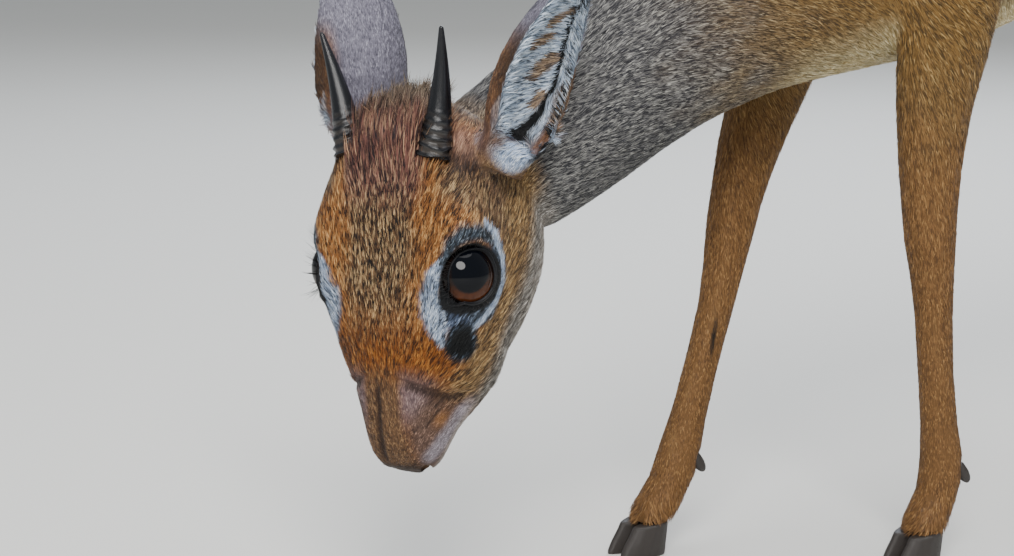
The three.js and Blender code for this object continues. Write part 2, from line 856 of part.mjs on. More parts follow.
const middleOf = (p) => {
  const box = p.boundingBox();
  return vec(
    (box.min[0] + box.max[0]) / 2,
    (box.min[1] + box.max[1]) / 2,
    (box.min[2] + box.max[2]) / 2,
  );
};
const middles = pieces.map(middleOf);
const taken = new Set();
for (const [name, seed] of Object.entries(seeds)) {
  let best = -1;
  middles.forEach((m, i) => {
    if (!taken.has(i) && (best < 0 || m.distanceTo(seed) < middles[best].distanceTo(seed))) best = i;
  });
  taken.add(best);
  place(name, pieces[best], coatColour, 0.9);
}

for (const [name, s] of Object.entries(sides)) {
  place(`${name}_eye`, eyeBall(s, eyeRadius), eyeColour, 0.15);
  place(`${name}_horn`, horn(s), hornColour, 0.45);
  place(`${name}_ear`, ear(s), coatColour, 0.9);
}
for (const [name, solid] of claws) place(name, solid, hoofColour, 0.5);

export default group;
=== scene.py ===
import math
import bpy
import numpy as np
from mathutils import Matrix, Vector
from mathutils.bvhtree import BVHTree


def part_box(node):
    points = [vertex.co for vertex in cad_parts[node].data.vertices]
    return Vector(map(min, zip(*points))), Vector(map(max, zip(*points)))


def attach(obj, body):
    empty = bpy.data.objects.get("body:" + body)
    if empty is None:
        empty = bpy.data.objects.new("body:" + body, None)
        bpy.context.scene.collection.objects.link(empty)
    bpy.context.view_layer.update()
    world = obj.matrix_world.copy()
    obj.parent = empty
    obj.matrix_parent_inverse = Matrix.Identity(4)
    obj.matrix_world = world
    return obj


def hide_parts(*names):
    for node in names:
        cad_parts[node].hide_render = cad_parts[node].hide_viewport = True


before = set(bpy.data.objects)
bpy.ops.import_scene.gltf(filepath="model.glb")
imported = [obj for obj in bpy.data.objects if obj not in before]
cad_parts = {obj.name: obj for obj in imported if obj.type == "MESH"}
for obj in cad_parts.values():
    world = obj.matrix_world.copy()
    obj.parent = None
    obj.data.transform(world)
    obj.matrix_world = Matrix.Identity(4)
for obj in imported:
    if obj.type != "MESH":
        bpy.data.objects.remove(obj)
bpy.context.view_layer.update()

# Skin: the hide over the whole carcass, one sheet with no seam from the lips to the tail and hooves.
# On a museum model it is tanned, drawn over a shaped body and glued down. It takes its form from the
# packed flesh, whose thin parting cuts are closed up here first.
flesh = [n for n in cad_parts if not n.endswith(("_eye", "_horn")) and "claw" not in n]
skin_voxel = 0.0009


def unit(ways):
    return ways / np.maximum(np.linalg.norm(ways, axis=-1, keepdims=True), 1e-9)


def read_mesh(mesh, sides):
    places = np.empty(len(mesh.vertices) * 3, np.float32)
    mesh.vertices.foreach_get("co", places)
    corners = np.empty(len(mesh.loops), np.int32)
    mesh.loops.foreach_get("vertex_index", corners)
    return places.reshape(-1, 3).astype(float), corners.reshape(-1, sides)


def point_normals(places, corners):
    a, b, c = (places[corners[:, k]] for k in (0, 1, -1))
    face = np.cross(b - a, c - a)
    out = np.zeros_like(places)
    for axis in range(3):
        for k in range(corners.shape[1]):
            out[:, axis] += np.bincount(corners[:, k], face[:, axis], len(places))
    return unit(out)


def gather(sheets):
    starts = np.cumsum([0] + [len(places) for places, _ in sheets])
    corners = [corners + start for (_, corners), start in zip(sheets, starts)]
    return np.concatenate([places for places, _ in sheets]), np.concatenate(corners)


def mesh_piece(name, places, corners):
    mesh = bpy.data.meshes.new(name)
    mesh.vertices.add(len(places))
    mesh.vertices.foreach_set("co", np.ascontiguousarray(places, np.float32).ravel())
    mesh.loops.add(corners.size)
    mesh.loops.foreach_set("vertex_index", np.ascontiguousarray(corners, np.int32).ravel())
    mesh.polygons.add(len(corners))
    mesh.polygons.foreach_set("loop_start", np.arange(len(corners), dtype=np.int32) * corners.shape[1])
    mesh.update(calc_edges=True)
    mesh.polygons.foreach_set("use_smooth", np.ones(len(corners), bool))
    piece = bpy.data.objects.new(name, mesh)
    bpy.context.scene.collection.objects.link(piece)
    return piece


def as_evaluated(piece):
    return bpy.data.meshes.new_from_object(piece.evaluated_get(bpy.context.evaluated_depsgraph_get()))


def one_sheet(sheets, voxel):
    rough = mesh_piece("rough_form", *gather(sheets))
    joiner = rough.modifiers.new("one_sheet", "REMESH")
    joiner.mode = "VOXEL"
    joiner.voxel_size = voxel
    sheet = as_evaluated(rough)
    bpy.data.objects.remove(rough)
    return sheet


# Every node swells a little to close the cuts, and the thin ears a little more, so that none tears.
cut_swell = 0.00035
ear_swell = 0.00055
flesh_sheets = []
for name in flesh:
    places, corners = read_mesh(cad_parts[name].data, 3)
    _, first, same = np.unique(np.round(places, 6), axis=0, return_index=True, return_inverse=True)
    corners = same.reshape(-1)[corners]
    places = places[first]
    swell = ear_swell if name.endswith("_ear") else cut_swell
    flesh_sheets.append((places + swell * point_normals(places, corners), corners))
sheet = one_sheet(flesh_sheets, skin_voxel)
places, corners = read_mesh(sheet, 4)

# The head's own axes start midway between the eyeballs and run down the face, up through the crown
# and out to the left ear. Places on the head are given along them in millimetres.
faceward = np.array([-0.3614, -0.2024, -0.9102])
crownward = np.array([-0.8537, -0.3207, 0.4103])
leftward = np.array([0.3749, -0.9253, 0.0569])
head_axes = np.array([faceward, crownward, leftward])
eye_middle = {
    side: np.mean(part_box(f"{name}_eye"), axis=0) for name, side in (("left", 1), ("right", -1))
}
head_at = (eye_middle[1] + eye_middle[-1]) / 2 - 0.0017 * faceward + 0.0002 * crownward


def on_head(forward, up, out):
    return head_at + (np.array([forward, up, out]) / 1000) @ head_axes


def head_place(points):
    return (((points - head_at) * 1000) @ head_axes.T).T


def step(low, high, x):
    t = np.clip((x - low) / (high - low), 0, 1)
    return t * t * (3 - 2 * t)


# Each ear stands on its foot, leans one way and opens its cup another. Side 1 is left, -1 is right.
ear_long = 80
ear_foot = {1: on_head(-44.4, 1.6, 33.4), -1: on_head(-46, 3, -25)}
ear_lean = {
    1: unit(np.array([-0.85, 0.192, 0.481])) @ head_axes,
    -1: unit(np.array([-0.88, 0.26, -0.2])) @ head_axes,
}
ear_open = {1: np.array([0.11, 0.12, 0.97]) @ head_axes, -1: np.array([0.1, -0.5, -0.86]) @ head_axes}
for side in (1, -1):
    ear_open[side] = unit(ear_open[side] - ear_lean[side] * (ear_open[side] @ ear_lean[side]))


def on_ear(points, side):
    off_foot = (points - ear_foot[side]) * 1000
    lean, face = ear_lean[side], ear_open[side]
    return off_foot @ lean / ear_long, off_foot @ np.cross(lean, face) * side, off_foot @ face


def edges_of(corners):
    sides = corners.shape[1]
    pairs = np.concatenate([corners[:, [k, (k + 1) % sides]] for k in range(sides)])
    return np.unique(np.sort(pairs, axis=1), axis=0)


def mean_of_neighbours(values, edges):
    out = np.empty_like(values)
    share = np.bincount(edges.ravel(), minlength=len(values))
    for k in range(values.shape[1]):
        out[:, k] = np.bincount(edges[:, 0], values[edges[:, 1], k], len(values))
        out[:, k] += np.bincount(edges[:, 1], values[edges[:, 0], k], len(values))
    return out / np.maximum(share, 1)[:, None]


# Neck and trunk, past the nape and above the legs, are rounded off most, the ears hardly at all.
ear_reach = 24
ear_share = np.zeros(len(places))
for side in (1, -1):
    along, across, deep = on_ear(places, side)
    ear_share = np.maximum(ear_share, step(0.08, 0.16, along) * (np.hypot(across, deep) < ear_reach))
x, y, z = places.T * 1000
nape = np.array([-224.12, 12, 179]) / 1000
past_nape = (places - nape) @ unit(np.array([0.85, -0.07, 0.52])) * 1000
trunk_share = step(-8, 12, past_nape) * step(205, 235, z + np.clip(-x - 60, 0, 60)) * (1 - ear_share)
edges = edges_of(corners)
turns_all_over = 6
turns_in_all = 75
for turn in range(turns_in_all):
    weight = trunk_share
    if turn < turns_all_over:
        weight = np.maximum(trunk_share, 0.5 * (1 - 0.8 * ear_share))
    places += 0.9 * weight[:, None] * (mean_of_neighbours(places, edges) - places)
normals = point_normals(places, corners)

# The skin lies under the coat by the coat's depth: least on face, ears and feet, most on the trunk.
depth = 0.7 + 0.9 * trunk_share - 0.15 * ear_share
places -= normals * depth[:, None] / 1000


# Folds of the face are pressed in: the mouth's line, the soft snout's creases and the gland's pit.
# A stroke is a list of points on a plane, each with the half width of the stroke there.
def along_stroke(px, py, stroke):
    best = np.full(len(px), 9.0)
    for (x0, y0, w0), (x1, y1, w1) in zip(stroke[:-1], stroke[1:]):
        dx, dy = x1 - x0, y1 - y0
        t = np.clip(((px - x0) * dx + (py - y0) * dy) / (dx * dx + dy * dy), 0, 1)
        best = np.minimum(best, np.hypot(px - x0 - t * dx, py - y0 - t * dy) / (w0 + t * (w1 - w0)))
    return best


def pressed(px, py, stroke):
    return np.exp(-along_stroke(px, py, stroke) ** 2)


forward, up, out = head_place(places)
wide = np.abs(out)
mouth_line = [(72, -32.5, 1.1), (60, -33.8, 1.1), (50, -34.5, 1.1), (41, -34.5, 1.3), (36, -36, 1)]
crease_line = [(42, -1, 0.8), (42.8, -2.7, 1.1), (43.5, -6, 1.4), (43.8, -12, 1.6), (43.3, -17, 1.5),
               (41, -22, 1.1)]
groove_line = [(40, -1.5, 0.7), (52, -1.3, 1.2), (62, -2.4, 1.6), (67.5, -3.4, 1.6)]
wrinkle_lines = [(55.5, -15, 0.6), (48.6, -15.8, 0.8)], [(48, -13.6, 0.6), (45, -14.6, 0.7)]
gland_pit = (24.6, -7.6)
mouth = pressed(forward, up, mouth_line) * (wide > 5) * (forward > 30)
crease = pressed(forward, up, crease_line) * step(3, 9, wide) * (forward > 30)
groove = pressed(forward, out, groove_line) * step(40, 50, forward) * (up > -22)
wrinkles = sum(pressed(forward, up, line) for line in wrinkle_lines) * (wide > 11)
pit = np.exp(-((forward - gland_pit[0]) ** 2 + (up - gland_pit[1]) ** 2) / 20) * (wide > 12)
press = 1.5 * mouth + 0.9 * crease + 0.8 * groove + 0.6 * wrinkles + 1.6 * pit
places -= normals * press[:, None] / 1000

# The sheet keeps its fine faces on the head and ears and loses most of them on the plain body. Its
# unwrap is used for the hair too.
sheet.vertices.foreach_set("co", np.ascontiguousarray(places, np.float32).ravel())
skin = bpy.data.objects.new("skin", sheet)
bpy.context.scene.collection.objects.link(skin)
head_reach = 95
off_head = np.linalg.norm(head_place(places), axis=0) > head_reach
body_points = np.nonzero(off_head & (places[:, 0] > -0.25) & (ear_share < 0.5))[0]
plainness = skin.vertex_groups.new(name="plain")
plainness.add(list(range(len(places))), 0.3, "REPLACE")
plainness.add(body_points.tolist(), 1.0, "REPLACE")
thinner = skin.modifiers.new("fewer_faces", "DECIMATE")
thinner.ratio = 0.19
thinner.vertex_group = "plain"
thinner.use_collapse_triangulate = True
skin.modifiers.new("triangles", "TRIANGULATE")
skin.data = as_evaluated(skin)
skin.modifiers.clear()
skin.vertex_groups.clear()
skin.data.polygons.foreach_set("use_smooth", np.ones(len(skin.data.polygons), bool))
places, corners = read_mesh(skin.data, 3)
normals = point_normals(places, corners)
edges = edges_of(corners)
bpy.context.view_layer.objects.active = skin
skin.select_set(True)
bpy.ops.object.mode_set(mode="EDIT")
bpy.ops.mesh.select_all(action="SELECT")
bpy.ops.uv.smart_project(angle_limit=math.radians(66), island_margin=0.001)
bpy.ops.object.mode_set(mode="OBJECT")
skin.data.uv_layers[0].name = "OFBake"
skin_uv = np.empty(len(skin.data.loops) * 2, np.float32)
skin.data.uv_layers[0].data.foreach_get("uv", skin_uv)
skin_uv = skin_uv.reshape(-1, 3, 2)

# Each place of skin takes the body part of the flesh under it, softened over a few millimetres.
part_nodes = {
    "face": ("head", "muzzle", "lower_jaw"),
    "neck": ("neck_upper", "neck_lower"),
    "trunk": ("chest", "barrel", "rump"),
    "tail": ("tail",),
    "upper_leg": ("forearm", "gaskin"),
    "lower_leg": ("cannon", "pastern"),
    "ear": ("_ear",),
}
flesh_places, flesh_corners = gather(flesh_sheets)
finder = BVHTree.FromPolygons(flesh_places.tolist(), flesh_corners.tolist())
node_of = np.repeat(np.arange(len(flesh)), [len(corners_here) for _, corners_here in flesh_sheets])
nearest = node_of[[finder.find_nearest(Vector(place))[2] for place in places]]
part_of = np.array([[name.endswith(ends) for ends in part_nodes.values()] for name in flesh], float)
share = part_of[nearest]
for turn in range(10):
    share = 0.4 * share + 0.6 * mean_of_neighbours(share, edges)
share_of = dict(zip(part_nodes, share.T))


def laid_flat(ways):
    return unit(ways - normals * (ways * normals).sum(1, keepdims=True))


# The hair lies back over the head, down the neck and sides, down the legs and up the ears.
forward, up, out = head_place(places)
wide = np.abs(out)
outward = 0.25 * np.sign(out)[:, None] * leftward * step(4, 25, wide)[:, None]
under_jaw = 0.45 * crownward * step(-8, -30, up)[:, None]
down_flank = step(0.55, -0.35, normals[:, 2])[:, None] * np.array([-0.35, 0, -0.75])
legs = share_of["upper_leg"] + share_of["lower_leg"]
lie = share_of["face"][:, None] * (outward - faceward - under_jaw)
lie += share_of["neck"][:, None] * np.array([0.86, 0, 0.33])
lie += share_of["trunk"][:, None] * (np.array([1, 0, 0.02]) + down_flank)
lie += share_of["tail"][:, None] * np.array([0.25, 0, -1])
lie += legs[:, None] * np.array([0.12, 0, -1])
for side in (1, -1):
    lie += share_of["ear"][:, None] * ear_lean[side] * (np.sign(out) == side)[:, None]
lie = laid_flat(lie)
for turn in range(25):
    lie = laid_flat(lie + mean_of_neighbours(lie, edges))

# Markings are the same on the skin and on the hair that grows from it. Each is a mix of hairs of
# three tones: a base tone, a dark tone with its share of the hairs, and a light tone with its share.
# Each tuft takes its tone by its own pick from 0 to 1.
mixes = {
    "flank": ("#795b2f", "#49371e", 0.26, "#9c8050", 0.13),
    "back": ("#665844", "#302a22", 0.34, "#9a8a6a", 0.14),
    "belly": ("#c4b386", "#96814f", 0.22, "#ddd2ac", 0.25),
    "salt and pepper": ("#656464", "#2a2a2f", 0.37, "#908f8b", 0.19),
    "neck root": ("#6f5d40", "#3c3020", 0.28, "#98845c", 0.15),
    "leg": ("#765430", "#553a20", 0.22, "#8f6c42", 0.13),
    "thigh": ("#735b3b", "#473723", 0.26, "#917750", 0.13),
    "inner leg": ("#bfae8a", "#94794f", 0.2, "#d8cdb2", 0.25),
    "tail": ("#6c5a42", "#3b2f25", 0.3, "#978262", 0.15),
    "forehead": ("#8f5c2e", "#2a190d", 0.28, "#c4965e", 0.19),
    "rust": ("#7b420c", "#2f1906", 0.27, "#a36a26", 0.14),
    "blaze": ("#694c33", "#0f0c0b", 0.4, "#b6986e", 0.24),
    "crown": ("#704840", "#24171a", 0.36, "#a27f66", 0.17),
    "poll": ("#66574a", "#29221d", 0.34, "#948470", 0.18),
    "behind eye": ("#69523d", "#281e17", 0.32, "#a38b67", 0.17),
    "cheek": ("#876842", "#3a2b1b", 0.29, "#b59768", 0.2),
    "jowl": ("#7c7770", "#3b3733", 0.26, "#aeaaa4", 0.2),
    "throat": ("#8f8880", "#5c524b", 0.18, "#c2bcb4", 0.3),
    "snout ridge": ("#6c4f36", "#3b291d", 0.3, "#937350", 0.18),
    "snout side": ("#634c41", "#3c2c27", 0.28, "#8b6f60", 0.16),
    "snout velvet": ("#857177", "#5e4c50", 0.2, "#a08d90", 0.2),
    "lip margin": ("#979099", "#6b6164", 0.2, "#b3adb6", 0.2),
    "fringe": ("#2b1c14", "#120c09", 0.4, "#6b4a30", 0.15),
    "ear root": ("#8a6657", "#5c4037", 0.2, "#ab8674", 0.2),
    # The blue in under eye, white patch, white streak, brow, tear track, gland edge, ear lining and ear lobe
    # is painted cool shade light over their own white, grey and black.
    "under eye": ("#3c4552", "#15191f", 0.4, "#8090a6", 0.2),
    "white patch": ("#8f9eb6", "#3a414c", 0.26, "#ccd7e6", 0.24),
    "white streak": ("#a9b9d2", "#6a7484", 0.14, "#d2dcea", 0.24),
    "brow": ("#3a4450", "#12161b", 0.4, "#808c98", 0.2),
    "tear track": ("#414c62", "#161b24", 0.4, "#8494b0", 0.18),
    "gland edge": ("#1d242d", "#07090c", 0.4, "#5b6878", 0.12),
    "ear back": ("#7e7b8a", "#514f5b", 0.24, "#9c9aa8", 0.16),
    "ear rust": ("#83552c", "#452a16", 0.26, "#a97c46", 0.2),
    "ear lining": ("#a7b7cb", "#525d6b", 0.2, "#dae5f2", 0.32),
    "lining rust": ("#83602f", "#4a361d", 0.3, "#a88450", 0.2),
    "lining root": ("#84664a", "#4b3626", 0.25, "#a98d68", 0.2),
    "ear lobe": ("#adc0de", "#64748c", 0.22, "#dce6f4", 0.3),
}


def linear(colour):
    parts = [int(colour[k : k + 2], 16) / 255 for k in (1, 3, 5)]
    return np.array([p / 12.92 if p <= 0.04045 else ((p + 0.055) / 1.055) ** 2.4 for p in parts])


# Scatter is a smooth chance value from 0 to 1 at each place, the same on each run, that swells and
# fades over the given size.
def scatter(points, size, seed):
    cell = points / size
    base = np.floor(cell).astype(np.int64)
    t = cell - base
    t = t * t * (3 - 2 * t)
    total = np.zeros(len(points))
    for corner in range(8):
        bit = np.array([corner & 1, corner >> 1 & 1, corner >> 2 & 1])
        at = base + bit
        mixed = (at[:, 0] * 73856093) ^ (at[:, 1] * 19349663) ^ (at[:, 2] * 83492791) ^ (seed * 2654435761)
        mixed = (mixed ^ (mixed >> 13)) * 1274126177 & 0x7FFFFFFF
        worth = (mixed ^ (mixed >> 16)) % 10007 / 10006
        total += worth * np.prod(np.where(bit, t, 1 - t), axis=1)
    return total


def blend(colours, other, mask):
    return colours + (linear(other) - colours) * np.clip(mask, 0, 1)[:, None]


def hair_mix(name, pick):
    base, dark, dark_share, light, light_share = mixes[name]
    soft_edge = 0.06
    tone = np.zeros((len(pick), 3)) + linear(base)
    tone = blend(tone, dark, step(dark_share + soft_edge, dark_share - soft_edge, pick))
    return blend(tone, light, step(1 - light_share - soft_edge, 1 - light_share + soft_edge, pick))


def grizzle(colours, name, pick, mask):
    return colours + (hair_mix(name, pick) - colours) * np.clip(mask, 0, 1)[:, None]


def near_spot(place, spot, reach):
    return np.exp(-sum((p - s) ** 2 for p, s in zip(place, spot)) / reach**2)


# The neck is salt and pepper, the back greyer than the sandy flanks, the belly pale. The legs are
# tan, with pale inner sides above and a short dark streak inside the right fore leg.
def body_marks(points, faces, pick, soft):
    x, y, z = points.T * 1000
    back = step(0.0, 0.85, faces[:, 2] + 0.3 * (soft - 0.5))
    belly = step(-0.35, -0.8, faces[:, 2]) * step(-125, -95, x)
    belly = belly * np.maximum(step(-50, -20, x), step(5, 12, np.abs(y)))
    trunk = grizzle(hair_mix("flank", pick), "back", pick, 0.85 * back)
    trunk = grizzle(trunk, "belly", pick, belly)
    sandy = step(-165, -85, x + 50 * (soft - 0.5))
    neck = grizzle(hair_mix("salt and pepper", pick), "neck root", pick, sandy)
    inner = step(0.3, 0.9, -np.sign(y) * faces[:, 1]) * step(185, 215, z)
    rear_rim = step(0.55, 0.92, faces[:, 0]) * step(60, 100, z)
    streak = step(1.5, 0.6, np.hypot(x + 101.5 + 0.16 * (97 - z), (z - 89) / 8))
    leg = grizzle(hair_mix("leg", pick), "thigh", pick, step(150, 235, z + 30 * (soft - 0.5)))
    leg = grizzle(leg, "inner leg", pick, np.maximum(0.7 * inner, 0.28 * rear_rim))
    leg = blend(leg, "#1d1712", streak * (y > 15) * (faces[:, 1] < 0))
    tail = blend(hair_mix("tail", pick), "#d2ccbe", step(0.15, 0.75, faces[:, 2] * -0.4 - faces[:, 0]))
    return neck, trunk, tail, leg


# Round each eye, on a plane across its look, with its first way toward the snout and its second
# toward the brow. A mark is a stroke, its faint outer edge and its full inner edge.
gland_at = (22.8, -9.2)
opening_drop = 1.5
eye_strokes = {
    "white patch": ([(-2, 11.8, 0.9), (4.2, 11.8, 2.1), (11, 9.9, 2.1), (16.5, 5.6, 3.4),
                     (21.5, 1.4, 3.1), (26, -2.4, 1.2)], 1.35, 0.7),
    "white streak": ([(-19.8, 1, 1), (-17.5, -5.6, 1.5), (-12.1, -11.5, 1.3), (-4, -15.7, 1.3),
                      (3.4, -16.5, 1.3), (10.2, -14.3, 1.2), (16.5, -11.2, 1.1)], 1.4, 0.8),
    "brow": ([(-1, 11, 1.4), (-8, 11, 2.4), (-13, 7.8, 3.3), (-15.8, 2, 3), (-15, -4, 1.8)], 1.7, 0.4),
    "tear track": ([(13, 1.5, 2.2), (16, -3, 4), (19, -6, 5)], 1.3, 0.8),
}


def eye_ways(side):
    look = unit(side * leftward + 0.165 * faceward + 0.55 * crownward)
    rise = unit(crownward - look * (look @ crownward))
    ahead = unit(faceward - look * (look @ faceward) - rise * (rise @ faceward))
    return ahead, rise, look


def eye_plane(points, side):
    off_middle = (points - eye_middle[side]) * 1000
    return [off_middle @ way for way in eye_ways(side)]


def eye_marks(head, points, side, here, pick):
    ragged = 0.35 * (pick - 0.5)
    ahead, rise, _ = eye_plane(points, side)
    from_eye = np.hypot(ahead, rise + opening_drop)
    from_gland = np.hypot(ahead - gland_at[0], rise - gland_at[1])
    under = step(17.5, 15.5, from_eye - 2.5 * step(2, 10, ahead)) * step(3, -3, rise - 0.3 * ahead)
    head = grizzle(head, "under eye", pick, here * under)
    for name, (stroke, faint, full) in eye_strokes.items():
        mark = step(faint, full, along_stroke(ahead, rise, stroke) + ragged)
        head = grizzle(head, name, pick, here * mark)
    head = grizzle(head, "gland edge", pick, here * step(8.6, 6, from_gland + 3 * ragged))
    head = blend(head, "#040608", here * step(5.8, 3.8, from_gland))
    front_corner = np.exp(-(((np.arctan2(rise + opening_drop, ahead) - 0.35) / 0.5) ** 2))
    rim = 12.3 + 3.2 * front_corner
    return blend(head, "#0b0d11", here * step(rim + 0.8, rim - 0.6, from_eye))


# The face has a grizzled blaze between rust sides, olive cheeks, a pale throat and a velvety
# mauve-brown snout. A dark fringe stands before each ear.
lip_margin = [(40, -27.5, 3), (46.6, -26.3, 3.7), (52.5, -25.8, 3.7), (57.4, -24.9, 3.5), (64, -23, 2.8)]


def fringe_share(forward, up, wide):
    return np.clip(1.5 * near_spot((forward, up, wide), (-36.5, 13, 30.5), 6), 0, 1)


def head_marks(points, pick, soft):
    forward, up, out = head_place(points)
    wide = np.abs(out)
    here = (forward, up, wide)
    head = hair_mix("forehead", pick)
    head = grizzle(head, "rust", pick, 0.9 * step(12, 32, forward) * step(-16, -4, up))
    blaze = step(20, 11, wide + 6 * (soft - 0.5)) * step(38, 8, forward + 8 * (soft - 0.5))
    head = grizzle(head, "blaze", pick, blaze * step(-6, 4, up))
    crown = step(-10, -30, forward) * step(22, 14, wide) * step(2, 9, up) * step(-66, -54, forward)
    head = grizzle(head, "crown", pick, 0.9 * crown)
    head = grizzle(head, "poll", pick, step(-46, -60, forward))
    behind = step(-9, -19, forward + 0.35 * up) * step(26, 33, wide + 0.3 * np.abs(up)) * (1 - crown)
    head = grizzle(head, "behind eye", pick, 0.9 * behind)
    cheek = step(-4, -15, up + 0.1 * forward + 5 * (soft - 0.5)) * step(12, 24, wide) * step(52, 38, forward)
    head = grizzle(head, "cheek", pick, cheek)
    head = grizzle(head, "jowl", pick, cheek * step(-22, -34, up))
    head = grizzle(head, "throat", pick, step(-30, -44, up) * step(56, 40, forward))
    snout = step(36, 49, forward + 5 * (soft - 0.5) + 0.12 * (up + 10))
    head = grizzle(head, "snout ridge", pick, snout * step(12, 6, wide))
    head = grizzle(head, "snout side", pick, snout * step(6, 12, wide))
    head = grizzle(head, "snout velvet", pick, 0.55 * snout * step(-12, -6, up) * step(6, 10, wide))
    margin = step(1.7, 0.4, along_stroke(forward, up, lip_margin))
    head = grizzle(head, "lip margin", pick, 0.8 * margin * step(6, 9, wide) * step(38, 46, forward))
    head = blend(head, "#aca29c", 0.85 * snout * step(-26, -31, up) * step(5, 9, wide))
    head = blend(head, "#946538", 0.75 * near_spot(here, (51.5, -18.3, 17.8), 3.4))
    # Painted shade: the snout's pressed-in wrinkles are darkened.
    for line in wrinkle_lines:
        head = blend(head, "#33251f", 0.75 * step(1.6, 0.5, along_stroke(forward, up, line)) * (wide > 11))
    # Painted shade: the groove pressed along the snout is darkened.
    groove = step(1.5, 0.3, along_stroke(forward, out, groove_line))
    head = blend(head, "#2a1c17", 0.85 * groove * step(-23, -17, up) * step(40, 47, forward))
    head = blend(head, "#2e2522", 0.85 * step(66, 70, forward) * step(-18, -22, up))
    # Painted shade: the crease pressed across the snout is darkened.
    crease = step(1.7, 0.4, along_stroke(forward, up, crease_line))
    head = blend(head, "#2a1d18", 0.8 * crease * step(7, 12, wide))
    # Painted shade: the mouth's pressed-in line is darkened.
    head = blend(head, "#14100f", pressed(forward, up, mouth_line) * (wide > 5) * (forward > 30))
    head = grizzle(head, "fringe", pick, fringe_share(forward, up, wide))
    head = grizzle(head, "ear root", pick, 0.9 * near_spot(here, (-46, 15, 26), 8))
    # A pale spot before each ear's foot; its blue is painted cool shade light.
    head = blend(head, "#b3c2d8", 0.8 * near_spot(here, (-38, 4.5, 41), 4.5))
    for side in (1, -1):
        head = eye_marks(head, points, side, (np.sign(out) == side) * (wide > 8), pick)
    return head


# The ears are lavender-grey and finely peppered behind, rust along one edge and dark at the rim.
# Inside they are lined with white hair, with rust strokes and one black line down the cup.
rust_strokes = (
    [(27, 8, 1.4), (33, 9.5, 2.2), (38, 11.5, 1.4)],
    [(18, 10.5, 1.2), (24, 12.5, 1.2)],
    [(38, 3, 1.4), (44, 6.5, 1.6)],
    [(48, 4.5, 1.3), (56, 7.5, 1.3)],
    [(12, 15.5, 1.8), (22, 17, 2.2), (33, 17.5, 1.8)],
)
black_line = [(3, 2, 1.2), (8, 9, 1), (18, 12.6, 0.5), (28, 14.2, 0.38), (38, 13.2, 0.38),
              (50, 10.2, 0.32), (64, 7, 0.25)]


def ear_marks(points, faces, pick):
    forward, up, out = head_place(points)
    fringe = fringe_share(forward, up, np.abs(out))
    ragged = 0.35 * (pick - 0.5)
    ear = hair_mix("ear back", pick)
    cup = hair_mix("ear lining", pick)
    for side, edge in ((1, 6), (-1, 11.5)):
        along, across, _ = on_ear(points, side)
        long = along * ear_long
        here = (np.sign(out) == side).astype(float)
        strip = here * step(0.62, 0.42, along) * step(edge, edge + 5, np.abs(across))
        if side < 0:
            strip = strip * (across < 0)
        ear = grizzle(ear, "ear rust", pick, 0.9 * strip)
        ear = blend(ear, "#2a2019", 0.8 * here * step(14.5, 18, np.abs(across)))
        ear = blend(ear, "#765a52", 0.6 * here * step(0.2, 0.05, along))
        ear = blend(ear, "#2b1c14", 0.9 * here * fringe)
        rust = np.min([along_stroke(long, across, stroke) for stroke in rust_strokes], axis=0)
        cup = grizzle(cup, "lining rust", pick, 0.85 * here * step(1.4, 0.8, rust + ragged))
        core = along_stroke(long, across, black_line)
        cup = blend(cup, "#55524f", 0.6 * here * step(2.4, 1, core))
        cup = blend(cup, "#0c0d10", here * step(1.3, 0.8, core))
        cup = grizzle(cup, "lining root", pick, here * step(0.05, -0.01, along))
        lobe = step(9, 4.5, np.hypot(long - 4, across + 3.5) + 2.5 * ragged)
        cup = grizzle(cup, "ear lobe", pick, 0.9 * here * lobe)
        cup = blend(cup, "#7b5a42", 0.9 * here * step(-8, -11, across) * step(0.16, 0.07, along))
        inside = step(-0.1, 0.2, faces @ ear_open[side])
        ear = ear + (cup - ear) * (here * inside)[:, None]
    return ear


def markings(points, faces, parts, pick):
    soft = scatter(points, 0.009, 3)
    neck, trunk, tail, leg = body_marks(points, faces, pick, soft)
    tones = (head_marks(points, pick, soft), neck, trunk, tail, leg, leg, ear_marks(points, faces, pick))
    return sum(part[:, None] * tone for part, tone in zip(parts.T, tones))


def paint(piece, colours):
    layer = piece.data.color_attributes.new("coat_colour", "FLOAT_COLOR", "POINT")
    rgba = np.ones((len(colours), 4), np.float32)
    rgba[:, :3] = np.clip(colours, 0, 1)
    layer.data.foreach_set("color", rgba.ravel())


# The skin between the hairs is darker than they are, most of all inside the ears.
lining = np.zeros(len(places))
for side in (1, -1):
    along, across, deep = on_ear(places, side)
    in_cup = step(-0.1, 0.2, normals @ ear_open[side]) * (np.sign(out) == side)
    lining += share_of["ear"] * in_cup * step(0.0, 0.05, along)
flecks = 0.5 + 0.9 * (scatter(places, 0.0009, 8) - 0.5)
paint(skin, markings(places, normals, share, flecks) * (0.7 - 0.35 * lining)[:, None])


def start_material(name):
    material = bpy.data.materials.new(name)
    material.use_nodes = True
    return material


def add_node(material, kind, settings=(), links=()):
    nodes = material.node_tree.nodes
    node = nodes.get(kind) or nodes.new(kind)
    for key, value in dict(settings).items():
        if isinstance(key, str) and hasattr(node, key):
            setattr(node, key, value)
        else:
            node.inputs[key].default_value = value
    for key, socket in dict(links).items():
        material.node_tree.links.new(socket, node.inputs[key])
    return node


